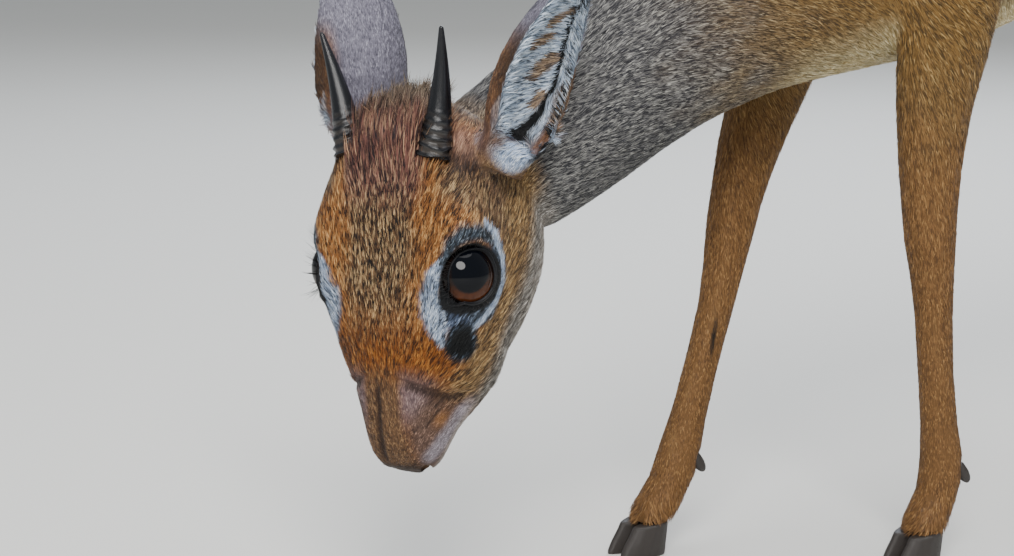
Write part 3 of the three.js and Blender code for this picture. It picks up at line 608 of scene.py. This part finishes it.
# Tanned hide: dull and nearly without gloss, with a fine nap where the close under hairs stand.
# The eye sees it only as shade between the tufts.
nap_width = 1.1
hide = start_material("tanned hide")
hide_tone = add_node(hide, "ShaderNodeAttribute", {"attribute_name": "coat_colour"})
nap = add_node(hide, "ShaderNodeTexNoise", {"Scale": 1000 / nap_width, "Detail": 3.0})
nap_height = add_node(hide, "ShaderNodeBump", {"Strength": 0.5, "Distance": 0.0006},
                      {"Height": nap.outputs["Fac"]})
add_node(hide, "Principled BSDF", {"Roughness": 0.75, "Specular IOR Level": 0.25},
         {"Base Color": hide_tone.outputs["Color"], "Normal": nap_height.outputs["Normal"]})
skin.data.materials.append(hide)
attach(skin, "root")
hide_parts(*flesh)

# Coat: the animal's own short hair, made as thin flat tufts of a few hairs each, rooted in the skin
# and combed along it. It is shortest on face, ears and feet and longest on crown, trunk and tail.
# For each part: length and width in mm, tufts to a square mm, and lift off the skin in radians.
hair_sizes = {
    "face": (3.4, 0.33, 4.9, 0.16),
    "neck": (3.3, 0.4, 3.7, 0.15),
    "trunk": (5.0, 0.52, 1.9, 0.11),
    "tail": (12, 0.8, 2.0, 0.15),
    "upper_leg": (3.8, 0.44, 2.4, 0.1),
    "lower_leg": (2.8, 0.4, 2.4, 0.1),
    "ear": (1.9, 0.27, 5.4, 0.14),
}
hair_length, hair_width, hair_count, hair_lift = (
    share @ np.array([hair_sizes[part][k] for part in part_nodes]) for k in range(4)
)
on_face = share_of["face"]
z = places[:, 2] * 1000

# The trunk's coat is a third thinner over the loins and rump.
hair_count *= 1 - 0.33 * share_of["trunk"] * step(-20, 70, places[:, 0] * 1000)

# The snout's velvet is half as long and closer, and the crown's crest nearly three times as long.
snout = on_face * step(34, 56, forward)
hair_length *= 1 - 0.5 * snout
hair_width *= 1 - 0.2 * snout
hair_count *= 1 + 0.3 * snout
crown = on_face * step(-16, -34, forward) * step(2, 12, up) * step(24, 14, wide)
hair_length *= 1 + 1.7 * crown
hair_width *= 1 + 0.3 * crown
hair_count *= 1 - 0.2 * crown
hair_lift *= 1 + 0.15 * crown

# A collar of longer hair stands round the foot of each horn, and a fringe hangs over each hoof.
horn_foot = {1: on_head(-37, 19, 18.5), -1: on_head(-37, 19, -19.8)}
for foot in horn_foot.values():
    from_foot = np.linalg.norm(places - foot, axis=1) * 1000
    collar = np.exp(-(((from_foot - 8) / 2.6) ** 2)) * on_face
    hair_length *= 1 + 0.5 * collar
    hair_lift *= 1 + 1.1 * collar
hair_length *= 1 + 0.5 * step(34, 22, z) - 0.25 * step(110, 50, z)
hair_lift *= 1 + 0.8 * step(34, 22, z)

# Hair is short round the eye and missing in its opening, in the gland's mouth and in the nostrils.
bare = np.zeros(len(places))
for side in (1, -1):
    here = (np.sign(out) == side) * on_face
    ahead, rise, deep = eye_plane(places, side)
    from_eye = np.hypot(ahead, rise + opening_drop)
    from_gland = np.hypot(ahead - gland_at[0], rise - gland_at[1])
    hair_length *= 1 - 0.45 * step(17, 12.5, from_eye) * here
    bare = np.maximum(bare, step(12.2, 11.6, from_eye) * (deep > 0) * here)
    bare = np.maximum(bare, 0.8 * step(5, 3.5, from_gland) * here)
nostril = on_face * step(6.5, 3.5, np.hypot(forward - 69, up + 27)) * step(3, 5, wide)

# In the cup of each ear longer white hairs sweep up and in from both rims toward its middle line.
line_along = [0.05, 0.1, 0.35, 0.6, 0.9]
line_across = {1: [2, 10, 14, 10.5, 3], -1: [0, 0, 0, 0, 0]}
for side in (1, -1):
    along, across, deep = on_ear(places, side)
    lined = lining * (np.sign(out) == side)
    middle = np.interp(along, line_along, line_across[side])
    rearward = np.cross(ear_lean[side], ear_open[side]) * side
    inward = np.clip((middle - across) / 3, -1, 1)[:, None] * rearward
    sweep = laid_flat(0.45 * ear_lean[side] + 0.85 * inward)
    lie = unit(lie + (sweep - lie) * lined[:, None])
    hair_length *= 1 + 1.6 * lined * step(0.97, 0.7, along)
    hair_width *= 1 + 0.5 * lined
    hair_lift *= 1 + 0.6 * lined
    hair_count *= 1 - 0.3 * lined
hair_count *= (1 - bare) * (1 - 0.9 * nostril)

# Hair: keratin with a faint sheen, so that light runs along the lie without a hard gloss.
hair = start_material("antelope hair")
hair_tone = add_node(hair, "ShaderNodeAttribute", {"attribute_name": "coat_colour"})
add_node(hair, "Principled BSDF",
         {"Roughness": 0.58, "Specular IOR Level": 0.22, "Sheen Weight": 0.08, "Sheen Roughness": 0.5},
         {"Base Color": hair_tone.outputs["Color"]})


# Each tuft is a long kite: root, two side points and tip. It is bent a little off the skin, darker
# at the root and banded toward the tip, as the hairs are. A piece holds at most 90,000 of them.
tufts_a_piece = 90000
kite = np.array([[0, 2, 1], [1, 2, 3]])
kite_patch = np.array([[0, -0.5], [-0.5, 0], [0.5, 0], [0, 0.5]]) * 0.003
root_depth = 0.0001
first, second, third = (places[corners[:, k]] for k in range(3))
area = np.linalg.norm(np.cross(second - first, third - first), axis=1) / 2 * 1e6


def tufts(name, where, seed):
    rng = np.random.default_rng(seed)
    weight = area * hair_count[corners].mean(1) * where[corners].mean(1)
    total = weight.sum()
    number = int(total * (1))
    marks = (np.arange(number) + rng.random(number)) / number * total
    triangle = np.minimum(np.searchsorted(np.cumsum(weight), marks), len(corners) - 1)
    r1, r2 = np.sqrt(rng.random(number)), rng.random(number)
    inside = np.stack([1 - r1, r1 * (1 - r2), r1 * r2], 1)

    def spread(values):
        return np.einsum("nk,nk...->n...", inside, values[corners[triangle]])

    root, normal, comb, parts = spread(places), unit(spread(normals)), spread(lie), spread(share)
    length = spread(hair_length) * (0.7 + 0.6 * rng.random(number)) / 1000
    width = spread(hair_width) * (0.7 + 0.6 * rng.random(number)) / 1000
    lift = spread(hair_lift) * (0.5 + rng.random(number))
    clump = np.stack([scatter(root, 0.006, seed + k) - 0.5 for k in range(3)], 1)
    comb = comb + 0.45 * clump + 0.13 * rng.normal(size=(number, 3))
    comb = unit(comb - normal * (comb * normal).sum(1, keepdims=True))
    roll = rng.normal(size=number)[:, None] * 0.3
    sideways = unit(np.cross(normal, comb) + normal * roll)
    rise = np.sin(lift)[:, None] * normal
    base = root - normal * root_depth
    middle = base + (comb * 0.42 + rise * 0.58) * length[:, None]
    tip = base + (comb + rise * 0.8) * length[:, None]
    half = sideways * width[:, None] / 2
    points = np.stack([base, middle - half * 0.85, middle + half * 0.85, tip], 1)
    triangles = (kite[None] + 4 * np.arange(number)[:, None, None]).reshape(-1, 3)

    # The mark is taken where the tuft shows. Picks are drawn out down the face in fine strokes.
    seen = root + comb * length[:, None] * 0.6
    drawn_out = seen - 0.72 * parts[:, :1] * (seen @ faceward)[:, None] * faceward
    strokes = np.clip(2.2 * scatter(drawn_out, 0.0007, seed + 7) - 0.6, 0, 1)
    pick = 0.62 * rng.random(number) + 0.38 * strokes
    colours = markings(seen, normal, parts, np.argsort(np.argsort(pick)) / number)
    band = (0.8 + 0.4 * rng.random(number))[:, None]
    tip_band = (0.7 + 0.75 * rng.random(number))[:, None]
    layers = np.stack([colours * 0.5, colours * band, colours * band, colours * tip_band], 1)
    uv = np.einsum("nk,nkc->nc", inside, skin_uv[triangle])[:, None] + kite_patch[None]
    for k in range(0, number, tufts_a_piece):
        last = min(k + tufts_a_piece, number)
        piece = mesh_piece(f"{name}_{k // tufts_a_piece + 1}", points[k:last].reshape(-1, 3),
                           triangles[: (last - k) * 2])
        paint(piece, layers[k:last].reshape(-1, 3))
        layer = piece.data.uv_layers.new(name="OFBake")
        layer.data.foreach_set("uv", uv[k:last][:, kite.ravel()].astype(np.float32).ravel())
        piece.data.materials.append(hair)
        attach(piece, "root")


tufts("face_hair", on_face, 21)
tufts("ear_hair", share_of["ear"], 22)
tufts("neck_hair", share_of["neck"], 23)
tufts("trunk_hair", share_of["trunk"] + share_of["tail"], 24)
tufts("leg_hair", legs, 25)


# Eyes: big, dark and wet, each a blown glass ball in its socket, painted from behind with a brown
# iris and a wide pupil that lies across it. The lids are bare skin modelled over the ball, drawn to
# a point at the front corner, and the lashes are set into them one by one.
ball_radius = 12.95
cornea_rise = 0.45


def ring_skin(rings, closed_ends=True):
    count = len(rings[0])
    ends = [rings[0].mean(0)[None], rings[-1].mean(0)[None]] if closed_ends else []
    j = np.arange(count)
    k = (j + 1) % count
    faces = []
    for i in range(len(rings) - 1):
        low, high = i * count, (i + 1) * count
        faces += [np.stack([low + j, low + k, high + k], 1), np.stack([low + j, high + k, high + j], 1)]
    if closed_ends:
        first, last = len(rings) * count, (len(rings) - 1) * count
        faces.append(np.stack([k, j, np.full(count, first)], 1))
        faces.append(np.stack([last + j, last + k, np.full(count, first + 1)], 1))
    return np.concatenate(rings + ends), np.concatenate(faces)


def ring_colours(rings):
    return np.concatenate(rings + [rings[0][:1], rings[-1][:1]])


# Wet glass eye: the painted ball is dull in itself and all its gloss is a clear coat with the
# refraction of the eye's own water, so that it mirrors the lights in small sharp spots.
wet_eye = start_material("wet glass eye")
eye_tone = add_node(wet_eye, "ShaderNodeAttribute", {"attribute_name": "coat_colour"})
add_node(wet_eye, "Principled BSDF",
         {"Roughness": 0.3, "Specular IOR Level": 0.0, "IOR": 1.38, "Coat IOR": 1.38, "Coat Weight": 0.6,
          "Coat Roughness": 0.035},
         {"Base Color": eye_tone.outputs["Color"]})

# Bare lid: black moist skin, half glossy, so that its fine wrinkles show as broken light.
wrinkle_width = 1.3
bare_lid = start_material("bare lid skin")
wrinkle = add_node(bare_lid, "ShaderNodeTexNoise", {"Scale": 1000 / wrinkle_width, "Detail": 3.0})
lid_tone = add_node(bare_lid, "ShaderNodeMix",
                    {"data_type": "RGBA", 6: (*linear("#07080a"), 1), 7: (*linear("#14151a"), 1)},
                    {0: wrinkle.outputs["Fac"]})
lid_grain = add_node(bare_lid, "ShaderNodeBump", {"Strength": 0.3, "Distance": 0.0003},
                     {"Height": wrinkle.outputs["Fac"]})
add_node(bare_lid, "Principled BSDF", {"Roughness": 0.4, "Specular IOR Level": 0.25},
         {"Base Color": lid_tone.outputs[2], "Normal": lid_grain.outputs["Normal"]})

# Lash: stiff black hair, satin, a little browner in places along each lash.
lash_patch = 2.5
lash_hair = start_material("lash hair")
strand = add_node(lash_hair, "ShaderNodeTexNoise", {"Scale": 1000 / lash_patch, "Detail": 1.0})
lash_tone = add_node(lash_hair, "ShaderNodeMix",
                     {"data_type": "RGBA", 6: (*linear("#09090b"), 1), 7: (*linear("#1d1a1a"), 1)},
                     {0: strand.outputs["Fac"]})
add_node(lash_hair, "Principled BSDF", {"Roughness": 0.45}, {"Base Color": lash_tone.outputs[2]})


# The ball's rings run from the front of the cornea, close together, to the back. Its colours go by
# the place on its face, in parts of its radius.
ball_tilts = np.radians(np.concatenate([np.linspace(0.5, 62, 70), np.linspace(66, 179.5, 24)]))


def eyeball(name, side):
    ahead, rise, look = eye_ways(side)
    turns = np.linspace(0, 2 * math.pi, 96, endpoint=False)[::-side]
    rings, colours = [], []
    for tilt in ball_tilts:
        radius = ball_radius + cornea_rise * math.exp(-((math.degrees(tilt) / 34) ** 2))
        px, py = np.sin(tilt) * np.cos(turns), np.sin(tilt) * np.sin(turns)
        place = px[:, None] * ahead + py[:, None] * rise + math.cos(tilt) * look
        rings.append(eye_middle[side] + radius / 1000 * place)
        pupil = step(1.07, 0.93, np.hypot((px + 0.13) / 0.64, (py - 0.08) / 0.54))
        iris = step(0.76, 0.69, np.hypot(px, py + 0.03))
        spokes = np.stack([turns * 9, np.full(len(turns), math.degrees(tilt) / 9), turns * 0], 1)
        # Painted light and painted shade: the iris is lighter amber toward its lower front, where light
        # falls, and dark above in the upper lid's shade.
        painted_iris_light = step(0.05, -0.6, 0.55 * py - 0.85 * px)[:, None]
        tone = linear("#140b08") + (linear("#43220f") - linear("#140b08")) * painted_iris_light
        tone = tone * (0.75 + 0.5 * scatter(spokes, 1.0, 8))[:, None]
        white = np.zeros((len(turns), 3)) + linear("#120d0c")
        tone = white + (tone - white) * iris[:, None]
        colours.append(blend(tone, "#04060c", pupil))
    ball = mesh_piece(f"{name}_eyeball", *ring_skin(rings))
    paint(ball, ring_colours(colours))
    ball.data.materials.append(wet_eye)
    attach(ball, "root")
    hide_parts(f"{name}_eye")


# The lids' rings run from under the rim, over it and down onto the face. The first two follow the
# ball at a depth, the others a flatter dome with a swell of their own.
lid_rings = (
    (0.91, None), (0.94, None), (0.968, 0.1), (0.99, 0.35), (1.012, 0.35), (1.05, -0.2), (1.16, -1.8)
)


def eyelids(name, side):
    ahead, rise, look = eye_ways(side)
    turns = np.linspace(0, 2 * math.pi, 120, endpoint=False)[::-side]
    corner = 3.2 * np.exp(-(((turns - 0.37) / 0.28) ** 2)) + 0.6 * np.exp(-(((turns - 3.3) / 0.35) ** 2))
    reach_ahead = (9.9 + corner) * np.cos(turns)
    reach_up = (9.6 + corner) * np.sin(turns) - 1.2
    rings = []
    for grow, swell in lid_rings:
        grow_here = 1 + (grow - 1) * (0.8 - 0.35 * np.sin(turns))
        px, py = reach_ahead * grow_here, reach_up * grow_here
        if swell is None:
            level = np.sqrt(np.maximum(13.3**2 - px**2 - py**2, 1)) - (0.95 - grow) * 6
        else:
            level = 12.5 * np.sqrt(np.maximum(1 - (px / 18.5) ** 2 - (py / 16) ** 2, 0.02)) - 0.7 + swell
        ring = np.outer(px, ahead) + np.outer(py, rise) + np.outer(level, look)
        rings.append(eye_middle[side] + ring / 1000)
    lid = mesh_piece(f"{name}_lids", *ring_skin(rings, closed_ends=False))
    lid.data.materials.append(bare_lid)
    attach(lid, "root")


upper_lashes = 50
lower_lashes = 14
lash_radius = 0.13


def lashes(name, side):
    ways = np.array(eye_ways(side))
    rng = np.random.default_rng(40 + side)
    sheets = []
    for number in range(upper_lashes + lower_lashes):
        upper = number < upper_lashes
        turn = rng.uniform(0.25, 2.95) if upper else rng.uniform(3.6, 5.9)
        start = np.array([10.4 * math.cos(turn), 9.9 * math.sin(turn) - 1.2, 9.9])
        heading = np.array([math.cos(turn) * 0.75, math.sin(turn) * 0.75, 0.75 if upper else 0.5])
        heading = unit(heading + rng.normal(size=3) * 0.16)
        long = rng.uniform(4.5, 8.5) if upper else rng.uniform(2, 3.6)
        rings = []
        for k in range(6):
            t = k / 5
            place = start + heading * long * t + np.array([0, 0.28 * long * t * t, -0.12 * long * t * t])
            thick = lash_radius * (1 - k / 5.4)
            ring = [place + thick * np.array([math.cos(q), math.sin(q), 0]) for q in (0, 2.09, 4.19)]
            rings.append(eye_middle[side] + np.array(ring) @ ways / 1000)
        sheets.append(ring_skin(rings))
    piece = mesh_piece(f"{name}_lashes", *gather(sheets))
    piece.data.materials.append(lash_hair)
    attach(piece, "root")


for name, side in (("left", 1), ("right", -1)):
    eyeball(name, side)
    eyelids(name, side)
    lashes(name, side)

# Horns: short spikes of keratin over bone, with knobbly rings round the lower part and smooth tips.
# They bow a little and sink into the crown, where the sheath grows from the skin.
horn_long = 46
horn_sunk = 10
horn_radius = 6.5
horn_tip_radius = 0.8
horn_bow = 1.9
ringed_part = 0.36
ring_count = 5.2
horn_lean = {
    1: unit(np.array([-0.9, 0.36, 0.1])) @ head_axes,
    -1: unit(np.array([-0.9, 0.36, -0.28])) @ head_axes,
}

# Horn keratin: blue-black and polished by use, so it takes long highlights. Fibres score it faintly,
# drawn coarser than real ones so that they show, and pale dust stays between the rings.
fibre_width = 2.4
horn_keratin = start_material("horn keratin")
horn_tone = add_node(horn_keratin, "ShaderNodeAttribute", {"attribute_name": "coat_colour"})
fibres = add_node(horn_keratin, "ShaderNodeTexNoise", {"Scale": 1000 / fibre_width, "Detail": 4.0})
scored = add_node(horn_keratin, "ShaderNodeBump", {"Strength": 0.2, "Distance": 0.0003},
                  {"Height": fibres.outputs["Fac"]})
add_node(horn_keratin, "Principled BSDF", {"Roughness": 0.27},
         {"Base Color": horn_tone.outputs["Color"], "Normal": scored.outputs["Normal"]})

turns = np.linspace(0, 2 * math.pi, 40, endpoint=False)
for name, side in (("left", 1), ("right", -1)):
    lean = horn_lean[side]
    bow = unit(np.array([0.35, 0.9, 0])) @ head_axes
    across = unit(np.cross(lean, bow))
    front = np.cross(across, lean)
    rings, colours = [], []
    for along in np.linspace(-horn_sunk, horn_long, 186):
        part = max(along, 0) / horn_long
        taper = horn_radius + (horn_tip_radius - horn_radius) * part**1.05
        if along > horn_long - 1:
            taper *= math.sqrt(max(1 - (along - horn_long + 1) ** 2, 0.05))
        ringed = max(0, 1 - part / ringed_part) ** 0.7
        waver = 1.1 * np.sin(turns + 2 * side) + 0.6 * np.sin(2 * turns + side)
        wave = np.cos(2 * math.pi * ring_count * part / ringed_part + waver)
        round_horn = np.stack([np.cos(turns) * 2.2, np.sin(turns) * 2.2, np.full(len(turns), along / 1.6)], 1)
        knob = scatter(round_horn, 1.0, 31 + side) - 0.5
        radius = taper + ringed * (0.42 * wave + 1.5 * knob)
        centre = lean * max(along, 0) + crownward * min(along, 0) - bow * horn_bow * math.sin(math.pi * part)
        ring = np.outer(radius * np.cos(turns) * 0.94, across) + np.outer(radius * np.sin(turns), front)
        rings.append(horn_foot[side] + (centre + ring) / 1000)
        tone = np.zeros((len(turns), 3)) + linear("#0b0c10")
        tone = blend(tone, "#3f3832", 0.7 * ringed * step(0.6, -0.6, wave + 1.2 * knob))
        lines = scatter(np.stack([turns * 6, np.full(len(turns), along / 14), turns * 0], 1), 1.0, 17)
        colours.append(blend(tone, "#24262c", 0.5 * step(0.55, 0.8, lines)))
    horn = mesh_piece(f"{name}_horn_sheath", *ring_skin(rings))
    paint(horn, ring_colours(colours))
    horn.data.materials.append(horn_keratin)
    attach(horn, "root")
    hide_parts(f"{name}_horn")

# Hooves: two pointed claws and two small dewclaws to a foot, the animal's own horn shoes, left on the
# skin. They stand flat on the floor, so their soles stay level while the rest is smoothed.
sole_height = 0.0009
claw_voxel = 0.0006

# Hoof keratin: dull, dark brown and unevenly dusty, with low growth ridges that run round the claw
# and catch the light. A wave of scale 1 has bands 2 pi / 20 of a metre apart.
ridge_spacing = 1.2
dust_patch = 6.25
hoof_keratin = start_material("hoof keratin")
growth = add_node(hoof_keratin, "ShaderNodeTexWave",
                  {"bands_direction": "Z", "Scale": 2 * math.pi / 20 * 1000 / ridge_spacing,
                   "Distortion": 2.5, "Detail": 2.0})
ridges = add_node(hoof_keratin, "ShaderNodeBump", {"Strength": 0.25, "Distance": 0.0003},
                  {"Height": growth.outputs["Color"]})
dust = add_node(hoof_keratin, "ShaderNodeTexNoise",
                {"Scale": 1000 / dust_patch, "Detail": 4.0, "Roughness": 0.65})
hoof_tone = add_node(hoof_keratin, "ShaderNodeMix",
                     {"data_type": "RGBA", 6: (*linear("#171414"), 1), 7: (*linear("#37302b"), 1)},
                     {0: dust.outputs["Fac"]})
add_node(hoof_keratin, "Principled BSDF", {"Roughness": 0.5},
         {"Base Color": hoof_tone.outputs[2], "Normal": ridges.outputs["Normal"]})

for foot in ("left_fore", "right_fore", "left_hind", "right_hind"):
    nodes = [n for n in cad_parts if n.startswith(foot) and "claw" in n]
    fine = one_sheet([read_mesh(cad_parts[node].data, 3) for node in nodes], claw_voxel)
    body, faces = read_mesh(fine, 4)
    links = edges_of(faces)
    sole = body[:, 2] < sole_height
    for turn in range(5):
        moved = body + 0.6 * (mean_of_neighbours(body, links) - body)
        moved[sole, 2] = np.maximum(body[sole, 2], 0)
        body = moved
    body[:, 2] = np.maximum(body[:, 2], 0)
    claws = mesh_piece(f"{foot}_claws", body, faces)
    claws.data.materials.append(hoof_keratin)
    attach(claws, "root")
    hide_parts(*nodes)

# Floor: a plain pale studio sheet that runs out past the picture. Matt paper takes soft shadows
# and shows no gloss.
bpy.ops.mesh.primitive_plane_add(size=8, location=(0, 0, 0))
floor = bpy.context.object
floor.name = "floor"
paper = start_material("studio paper")
add_node(paper, "Principled BSDF", {"Base Color": (*linear("#d9d8d3"), 1), "Roughness": 0.8})
floor.data.materials.append(paper)


# Light: a broad soft box high on the animal's left, a cooler one behind, a wide sheet overhead and
# an even pale room.
def soft_box(name, place, aim, size, power, colour):
    lamp = bpy.data.lights.new(name, "AREA")
    lamp.shape = "DISK"
    lamp.size = size
    lamp.energy = power
    lamp.color = linear(colour)
    holder = bpy.data.objects.new(name, lamp)
    holder.location = place
    holder.rotation_euler = (Vector(aim) - Vector(place)).to_track_quat("-Z", "Y").to_euler()
    bpy.context.scene.collection.objects.link(holder)


soft_box("window", (-1.1, -1.5, 1.6), (-0.1, 0, 0.2), 1.1, 58, "#fffdfa")
soft_box("rear_window", (1.2, 1.2, 1.5), (0, 0, 0.2), 1.0, 30, "#eaf2ff")
soft_box("top_sheet", (0.0, 0.0, 2.2), (0, 0, 0), 2.0, 30, "#ffffff")
room = bpy.data.worlds.new("room")
room.use_nodes = True
room_light = room.node_tree.nodes["Background"]
room_light.inputs["Color"].default_value = (*linear("#e6ebf0"), 1)
room_light.inputs["Strength"].default_value = 0.55
bpy.context.scene.world = room

# Camera: a long lens from the animal's left front, level with its back and looking slightly down.
# The focal length is 2400 pixels of a picture 1014 wide.
camera = bpy.data.cameras.new("camera")
camera.sensor_width = 36
camera.lens = camera.sensor_width * 2400 / 1014
camera.clip_start = 0.05
view = bpy.data.objects.new("camera", camera)
turned, pitched = math.radians(-32), math.radians(80)
view.rotation_euler = (pitched, 0, turned)
view.location = (-0.69302, -0.7531, 0.2861)
bpy.context.scene.collection.objects.link(view)
bpy.context.scene.camera = view
